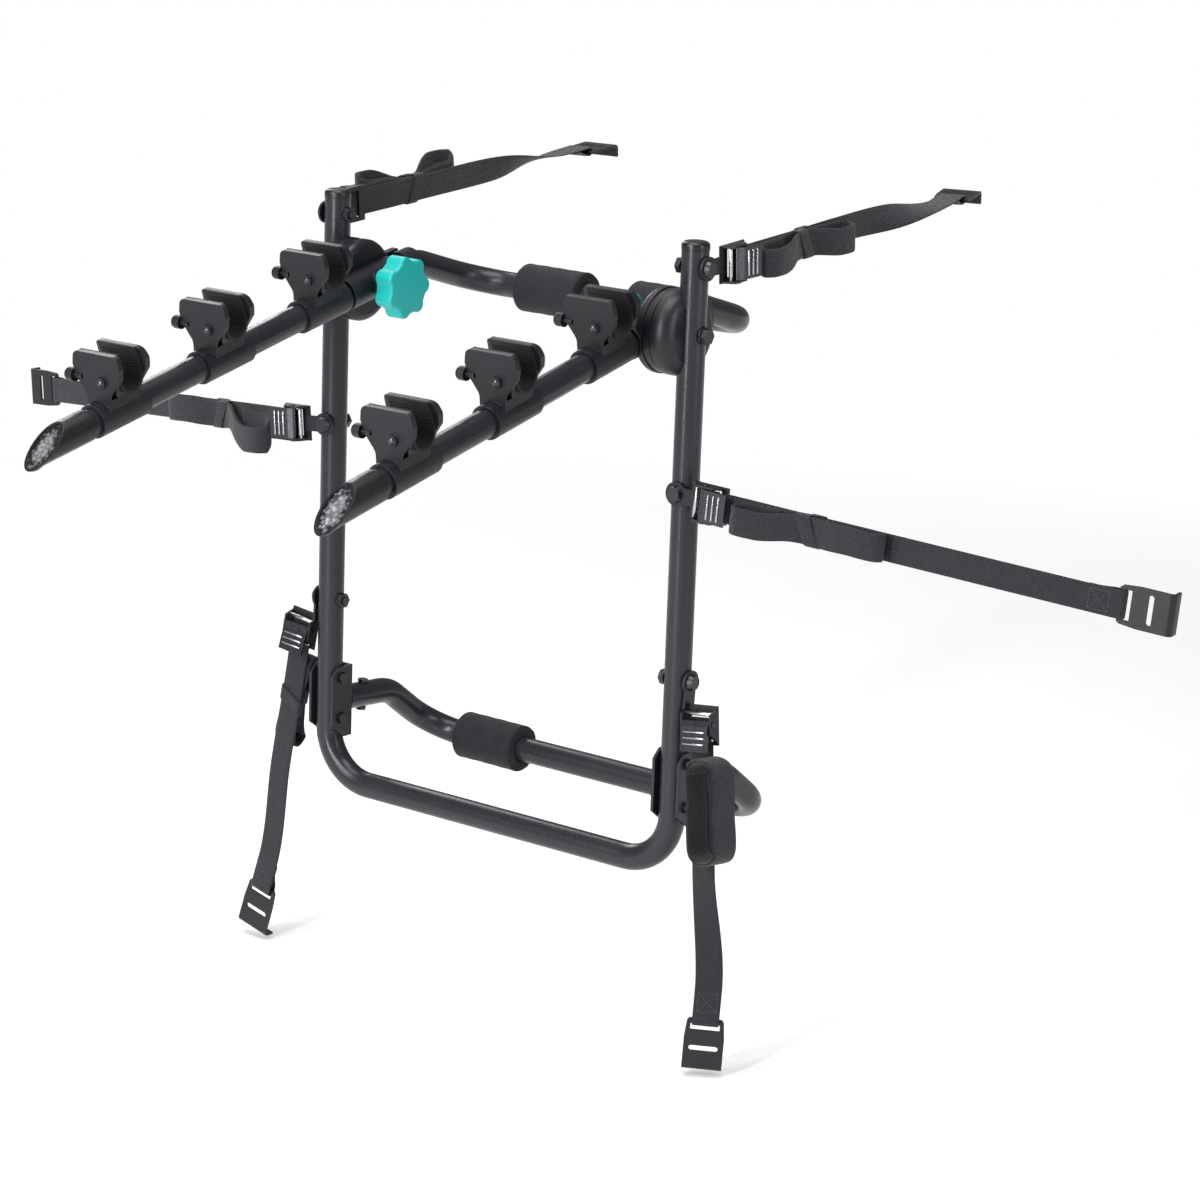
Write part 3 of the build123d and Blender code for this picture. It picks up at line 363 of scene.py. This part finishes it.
# Straps
web_width, web_thick = 25.0, 1.6
runs = {"upper": 398.0, "side": 429.0, "lower": 311.0}
spans = {"upper": (62.0, 205.0), "side": (64.0, 215.0), "lower": (62.0, 160.0)}
tie_width = 14.0
hanging_base, hanging_height = 2.0, 40.0
sewn_back = 30.0
web_middle = 2.4
web_begins = 29.0
buckle_start = 18.0
eye_half = 1.25
lower_aside = 16.0
before_strap = 15.8
loop_radius = 3.85
windings = (0.9, 2.7)
tie_thick = 1.3
tie_slant = 6.0
frame_y = -178.3
bolt_places = {
    "upper": (223.0, frame_y, 540.0),
    "side": (210.0, -191.3, 337.0),
    "lower": (223.0, frame_y, 162.0),
}
runs_along = {"upper": (0, 1, 0.078), "side": (0.985, 0.135, -0.08), "lower": (0.12, -0.075, -0.985)}
lobe_leans = {
    "upper": ((5.0, 4.0), (11.0, 14.0)),
    "side": ((5.0, -2.0), (-19.0, 3.0)),
    "lower": ((0, 0), (3.0, -3.0)),
}


class Place:
    """A strap's own frame: x along the webbing, y outward from its face and z across it."""

    def __init__(self, origin, along, outward):
        self.origin = Vector(origin)
        self.x = Vector(along).normalized()
        out = Vector(outward).normalized()
        self.y = (out - self.x * out.dot(self.x)).normalized()
        self.z = self.x.cross(self.y)

    def at(self, x, y, z=0.0):
        return self.origin + self.x * x + self.y * y + self.z * z


def strap_start(kind, s):
    """The buckle's own frame, on the strap's bolt."""
    x, y, z = bolt_places[kind]
    pivot = Vector((s * x, y, z))
    bolt = Vector((s, 0, 0)) if kind != "side" else Vector((0, -1, 0))
    x, y, z = runs_along[kind]
    along = Vector((s * x, y, z)).normalized()
    outward = (s, 0, 0) if kind == "upper" else (0, -1, 0)
    aside = bolt * (lower_aside if kind == "lower" else 0.0)
    hang = along - bolt * along.dot(bolt)
    return Place(pivot + bolt * eye_half + aside + (hang - along) * buckle_start, along, outward)


def strap_end(kind, s):
    """The hook's own frame, on the webbing's middle above the hook's bar."""
    start = strap_start(kind, s)
    origin = start.at(runs[kind], web_middle)
    if kind == "upper":
        return Place(origin, (-0.22 - 0.1 * s, 1, 0.07), (0, 0, 1))
    if kind == "side":
        return Place(origin, start.x, start.y)
    if s > 0:
        return Place(origin, (0, -0.08, -0.98), (0.55, -0.83, 0))
    return Place(origin, (-0.24, -0.075, -0.95), (0, -1, 0))


def smooth_path(points, step=1.4):
    """A rounded line through points in a plane."""
    line = []
    for i in range(len(points) - 1):
        p0 = Vector(points[max(i - 1, 0)])
        p1, p2 = Vector(points[i]), Vector(points[i + 1])
        p3 = Vector(points[min(i + 2, len(points) - 1)])
        count = max(2, int((p2 - p1).length / step))
        chord = (p2 - p1).length
        m1 = (p2 - p0).normalized() * chord
        m2 = (p3 - p1).normalized() * chord
        for k in range(count):
            t = k / count
            h = (2 * t**3 - 3 * t**2 + 1, t**3 - 2 * t**2 + t, -2 * t**3 + 3 * t**2, t**3 - t**2)
            line.append(p1 * h[0] + m1 * h[1] + p2 * h[2] + m2 * h[3])
    line.append(Vector(points[-1]))
    return line


def in_place(place, line):
    """(middle, normal, across) for each point of a flat line in a strap's frame."""
    out = []
    for i, p in enumerate(line):
        ahead, behind = line[min(i + 1, len(line) - 1)], line[max(i - 1, 0)]
        t = (ahead - behind).normalized()
        out.append((place.at(p.x, p.y), (place.x * -t.y + place.y * t.x).normalized(), place.z))
    return out


sides_across = (-1.0, -0.95, -0.8, -0.4, 0.0, 0.4, 0.8, 0.95, 1.0)


def ribbon(name, line, width, thick, finish):
    """A strip of webbing along (middle, normal, across) points, with rounded edges."""
    vertices, faces, uvs = [], [], []
    travelled, before = 0.0, line[0][0]
    ring = 2 * len(sides_across)
    for middle, normal, across in line:
        travelled += (middle - before).length
        before = middle
        for face in (1, -1):
            for v in sides_across if face > 0 else reversed(sides_across):
                lift = thick / 2 * (1 - 0.62 * abs(v) ** 24 - 0.08 * abs(v) ** 4)
                vertices.append(middle + across * (v * width / 2) + normal * (face * lift))
                uvs.append((travelled / 1000, v * width / 2000))
    for i in range(len(line) - 1):
        for j in range(ring):
            k = (j + 1) % ring
            faces.append((i * ring + j, i * ring + k, (i + 1) * ring + k, (i + 1) * ring + j))
    faces.append(tuple(range(ring - 1, -1, -1)))
    last = (len(line) - 1) * ring
    faces.append(tuple(range(last, last + ring)))
    return add_mesh(name, vertices, faces, finish, uvs), travelled / 1000


def main_line(kind, s):
    """The pulled webbing, from inside its buckle, through its twist and round the hook's bar."""
    start, end = strap_start(kind, s), strap_end(kind, s)
    reach = spans[kind][1] + 12.0
    line = []
    for i in range(130):
        x = web_begins + (reach - web_begins) * i / 130
        ease = min(1.0, (x - web_begins) / 30) * min(1.0, (reach - x) / 30)
        wave = 0.35 * math.sin(x * 0.055 + s) * ease
        line.append((start.at(x, web_middle + wave), start.y, start.z))
    first, last = start.at(reach, web_middle), end.at(-sewn_back, 0.0)
    pull = (last - first).length
    for i in range(90):
        t = i / 90
        blend = t * t * (3 - 2 * t)
        middle = first * (1 - blend) + last * blend
        middle += start.x * (pull * t * (1 - t) ** 2) - end.x * (pull * t**2 * (1 - t))
        along = (last - first) * (6 * t * (1 - t)) + start.x * (pull * (1 - t) * (1 - 3 * t))
        along += end.x * (pull * t * (3 * t - 2))
        turn = Place(middle, along, start.y * (1 - blend) + end.y * blend)
        line.append((middle, turn.y, turn.z))
    loop = [Vector((-sewn_back * (1 - i / 12), 0.0)) for i in range(13)]
    for i in range(1, 17):
        a = math.pi * i / 16
        loop.append(Vector((loop_radius * math.sin(a), -loop_radius + loop_radius * math.cos(a))))
    back = [(-1.0, -7.7), (-7.0, -6.7), (-14.0, -3.7), (-20.0, -1.74), (-25.0, -1.66), (-29.5, -1.66)]
    loop += smooth_path(back)
    return line + in_place(end, loop)


def hanging_line(s):
    """The lower right strap's spare webbing, wound twice into one open loop before the strap."""
    low, high = spans["lower"]
    start = strap_start("lower", s)
    place = Place(start.at(0, before_strap), start.x, (1, -0.2, 0))
    base, m = hanging_base, (low + high) / 2
    points = [(m - 18, base + windings[0])]
    for inset in windings:
        b, t = base + inset, base + hanging_height - inset
        points += [
            (m, b),
            (high - 16, b),
            (high - 5 - inset, b + 3.6),
            (high - inset, b + 15),
            (high - 4.2 - inset, t - 6),
            (high - 17, t),
            (m, t - 1.1),
            (low + 17, t),
            (low + 4.2 + inset, t - 6),
            (low + inset, b + 15),
            (low + 5 + inset, b + 3.6),
            (low + 16, b),
        ]
    return place, in_place(place, smooth_path(points))


def spare_line(kind, s):
    """The spare webbing, wound twice into a loop that its tie pinches, with lobes that lean aside."""
    low, high = spans[kind]
    m = (low + high) / 2
    place, base, points = strap_start(kind, s), 5.4, [(39.0, 4.0), (low, 4.0), (m - 26, 4.05)]
    if kind == "lower":
        place, base, points = Place(place.origin, place.x, (0, 1, 0)), -0.6, [(m - 8, 0.3)]
    near, far = lobe_leans[kind][s < 0]
    tall = 15.5 if kind == "side" and s > 0 else 18.8
    for turn, inset in enumerate(windings):
        b = base + inset
        points += [
            (m + 4, b),
            (m + 30, b),
            (high - 10 - inset, b),
            (high - 0.6 - inset, base + 8.5),
            (high - 9 - inset, base + tall + 0.9 - inset),
            (m + 34, base + tall - 1.6 - inset),
            (m + 13, base + 9.2 - inset),
            (m, base + 7.3 - inset),
            (m - 13, base + 9.2 - inset),
            (m - 34, base + tall - 1.9 - inset),
            (low + 9 + inset, base + tall + 0.6 - inset),
            (low + 0.6 + inset, base + 8.5),
            (low + 10 + inset, b),
            (m - 30, b),
        ]
        if turn == 0:
            points.append((m - 12, b + 0.2))
    line, outline = [], smooth_path(points)
    for flat, (spot, normal, across) in zip(outline, in_place(place, outline)):
        away = (flat.x - m) / (high - m)
        outward = max(0.0, min(1.0, (flat.y - base - 1.0) / 10.0))
        share = max(0.0, min(1.0, (abs(away) - 0.14) / 0.5))
        share = share * share * (3 - 2 * share) * (0.35 + 0.65 * outward if kind != "lower" else 1.0)
        lean = (far if away > 0 else near) * share
        line.append((spot + place.z * lean, normal, across))
    return place, base, m, line


def tie_line(place, middle, low, high, slant):
    """The band round the strap and its spare, laid at a slant."""
    half_y, half_z = (high - low) / 2 + 0.8, web_width / 2 + 0.9
    centre_y = (high + low) / 2
    corner, line, flat = 3.0, [], []
    for k, (cy, cz) in enumerate(((1, 1), (-1, 1), (-1, -1), (1, -1))):
        for i in range(7):
            a = math.pi / 2 * (k + i / 6)
            y = cy * (half_y - corner) + corner * math.cos(a)
            z = cz * (half_z - corner) + corner * math.sin(a)
            flat.append((y, z))
    dense = []
    for i in range(len(flat)):
        a, b = Vector(flat[i]), Vector(flat[(i + 1) % len(flat)])
        count = max(1, int((b - a).length / 2.0))
        dense += [a.lerp(b, k / count) for k in range(count)]
    dense = dense + dense[:4]
    for i, p in enumerate(dense):
        ahead, behind = dense[(i + 1) % len(dense)], dense[i - 1]
        t = (ahead - behind).normalized() if i < len(dense) - 1 else (p - behind).normalized()
        lean = slant * p.y / half_z * (1 if p.x > 0 else -1)
        lift = 0.35 * i / len(dense)
        normal = place.y * t.y - place.z * t.x
        spot = place.at(middle + lean, centre_y + p.x, p.y) + normal * lift
        line.append((spot, normal, place.x))
    return line


def stitches(name, end, finish):
    """Sewn rows in a box with a cross, on both faces of the doubled webbing above the hook."""
    corners = [(-28, -9), (-10, -9), (-10, 9), (-28, 9)]
    rows = [(corners[i], corners[(i + 1) % 4]) for i in range(4)]
    rows += [(corners[0], corners[2]), (corners[1], corners[3])]
    vertices, faces = [], []
    for face_y, way in ((0.78, 1), (-2.42, -1)):
        for a, b in rows:
            a, b = Vector(a), Vector(b)
            if way < 0:
                a.x, b.x = min(a.x, -20.5), min(b.x, -20.5)
            length = (b - a).length
            if length < 3:
                continue
            run = (b - a) / length
            cross = Vector((-run.y, run.x)) * 0.28
            count = int(length / 2.7)
            for i in range(count):
                p = a + run * (length * (i + 0.2) / count)
                q = p + run * 1.7
                mid = (p + q) / 2
                v = len(vertices)
                for spot in (p, q):
                    vertices.append(end.at(spot.x + cross.x, face_y, spot.y + cross.y))
                    vertices.append(end.at(spot.x - cross.x, face_y, spot.y - cross.y))
                vertices.append(end.at(mid.x + cross.x * 0.6, face_y + way * 0.34, mid.y + cross.y * 0.6))
                vertices.append(end.at(mid.x - cross.x * 0.6, face_y + way * 0.34, mid.y - cross.y * 0.6))
                faces += [
                    (v, v + 1, v + 5, v + 4),
                    (v + 2, v + 4, v + 5, v + 3),
                    (v, v + 4, v + 2),
                    (v + 1, v + 3, v + 5),
                ]
    return add_mesh(name, vertices, faces, finish)


def cross_bars(name, start, bars, half):
    """Bright round bars across a strap, from (place along it, height above it, radius)."""
    vertices, faces = [], []
    for x, y, r in bars:
        base = len(vertices)
        one_end = [(half, 0.02), (half, 0.8 * r), (half - 0.3, r)]
        for z, radius in [(-z, radius) for z, radius in one_end] + one_end[::-1]:
            for k in range(16):
                a = 2 * math.pi * k / 16
                vertices.append(start.at(x + radius * math.cos(a), y + radius * math.sin(a), z))
        for j in range(5):
            for k in range(16):
                n = (k + 1) % 16
                low = base + 16 * j
                faces.append((low + k, low + n, low + 16 + n, low + 16 + k))
    piece = add_mesh(name, vertices, faces, bar_steel)
    return piece


buckle_bars = [(25.2, 6.6, 2.0), (48.5, 6.0, 1.3)]
lever_pin, lever_top, lever_slope = 34.0, 14.0, 0.1217
lever_bars = [
    (lever_pin + along, lever_top + lever_slope * (along - 2.0) + 0.5, 0.95) for along in (7.0, 12.5, 18.0)
]
buckle_bar_half, lever_bar_half = 15.1, 11.5

for kind in ("upper", "side", "lower"):
    for name, s in (("left", -1), ("right", 1)):
        strap = f"{kind}_{name}"
        body = f"strap_{strap}"
        node = f"strap_webbing_{strap}"
        cloth = finishes["webbing"]
        start = strap_start(kind, s)
        pulled, length = ribbon(f"webbing_{strap}", main_line(kind, s), web_width, web_thick, cloth)
        hanging = kind == "lower" and s > 0
        if hanging:
            place, line = hanging_line(s)
        else:
            place, base, middle, line = spare_line(kind, s)
        spare, spare_length = ribbon(f"spare_{strap}", line, web_width, web_thick, cloth)
        sewn = stitches(f"stitches_{strap}", strap_end(kind, s), thread)
        soft = [pulled, spare]
        if not hanging:
            tie = tie_line(place, middle, -3.4 if kind == "lower" else 1.4, base + 7.6, tie_slant * s)
            band, band_length = ribbon(f"tie_{strap}", tie, tie_width, tie_thick, cloth)
            soft.append(band)
        bars = cross_bars(f"bars_{strap}", start, buckle_bars, buckle_bar_half)
        ridges = cross_bars(f"ridges_{strap}", start, lever_bars, lever_bar_half)
        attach(ridges, f"lever_{strap}")
        for piece in soft:
            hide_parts(node)
        for piece in soft + [sewn, bars]:
            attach(piece, body)
        print("strap", kind, name, round(length, 4), round(spare_length, 4))

# Rivets in the cradles' outer faces
arm_slope = math.radians(13)
arm_pivot = Vector((167.1, frame_y, 479.9))
first_face, cradle_step, rivet_aside, rivet_rise = 92.5, 137.0, 6.0, 33.0
dome = [(-0.4, 2.9), (0.3, 2.9), (0.9, 2.4), (1.3, 1.5), (1.45, 0.05), (-0.4, 0.05)]
arm_dir = Vector((0, -math.cos(arm_slope), -math.sin(arm_slope)))
arm_up = Vector((0, -math.sin(arm_slope), math.cos(arm_slope)))
for name, s in (("left", -1), ("right", 1)):
    for i in range(3):
        root = Vector((s * arm_pivot.x + rivet_aside, arm_pivot.y, arm_pivot.z))
        seat = root + arm_dir * (first_face + cradle_step * i) + arm_up * rivet_rise
        rivet = lathe(f"rivet_{name}_{i + 1}", dome, seat, arm_dir, rivet_steel, 24)
        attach(rivet, f"arm_{name}")


# Light
def area_light(name, spot, target, size, power):
    """A rectangular white lamp that faces the target."""
    data = bpy.data.lights.new(name, "AREA")
    data.shape = "RECTANGLE"
    data.size, data.size_y = size
    data.energy = power
    lamp = bpy.data.objects.new(name, data)
    lamp.location = spot
    lamp.rotation_euler = (Vector(target) - Vector(spot)).to_track_quat("-Z", "Y").to_euler()
    bpy.context.collection.objects.link(lamp)


middle_spot = (0.0, -0.15, 0.2)
area_light("key", (-0.9, -3.0, 1.9), middle_spot, (0.9, 2.6), 62.0)
area_light("strip", (0.15, -3.3, 0.9), middle_spot, (0.2, 2.8), 105.0)
area_light("fill", (3.2, -0.2, 1.3), middle_spot, (0.5, 2.4), 42.0)
area_light("overhead", (0.0, -0.5, 2.9), middle_spot, (2.2, 1.6), 70.0)
area_light("rim", (-2.6, 1.4, 2.0), middle_spot, (1.2, 1.8), 36.0)
world = bpy.data.worlds.new("studio")
bpy.context.scene.world = world
world.use_nodes = True
sky = world.node_tree
backdrop = sky.nodes["Background"]
backdrop.inputs["Color"].default_value = (1, 1, 1, 1)
backdrop.inputs["Strength"].default_value = 0.24
white = sky.nodes.new("ShaderNodeBackground")
white.inputs["Color"].default_value = (1, 1, 1, 1)
white.inputs["Strength"].default_value = 1.0
path = sky.nodes.new("ShaderNodeLightPath")
choose = sky.nodes.new("ShaderNodeMixShader")
sky.links.new(path.outputs["Is Camera Ray"], choose.inputs["Fac"])
sky.links.new(backdrop.outputs["Background"], choose.inputs[1])
sky.links.new(white.outputs["Background"], choose.inputs[2])
sky.links.new(choose.outputs["Shader"], sky.nodes["World Output"].inputs["Surface"])

# Floor
floor_z = 1000 * cad_low[2] - 3.0
span = 9000.0
floor_graph = Graph("floor")
floor_graph.tint(floor_graph.noise(3.0, 3.0), (0.86, 0.86, 0.86), (0.90, 0.90, 0.90))
floor_rough = floor_graph.spread(floor_graph.noise(12.0), 0.62, 0.72)
floor_graph.link(floor_rough, floor_graph.shader.inputs["Roughness"])
floor_graph.shader.inputs["Specular IOR Level"].default_value = 0.2
distance = floor_graph.tree.nodes.new("ShaderNodeVectorMath")
distance.operation = "LENGTH"
floor_graph.link(floor_graph.coords.outputs["Object"], distance.inputs[0])
fade = floor_graph.spread(distance.outputs["Value"], 0.0, 1.0, 0.9, 2.4)
glow = floor_graph.tree.nodes.new("ShaderNodeEmission")
glow.inputs["Strength"].default_value = 1.0
blend = floor_graph.tree.nodes.new("ShaderNodeMixShader")
floor_graph.link(fade, blend.inputs["Fac"])
floor_graph.link(floor_graph.shader.outputs["BSDF"], blend.inputs[1])
floor_graph.link(glow.outputs["Emission"], blend.inputs[2])
floor_graph.link(blend.outputs["Shader"], floor_graph.tree.nodes["Material Output"].inputs["Surface"])
corners = [(-span, -span, floor_z), (span, -span, floor_z), (span, span, floor_z), (-span, span, floor_z)]
floor = add_mesh("floor", corners, [(0, 1, 2, 3)], floor_graph.material, smooth=False)
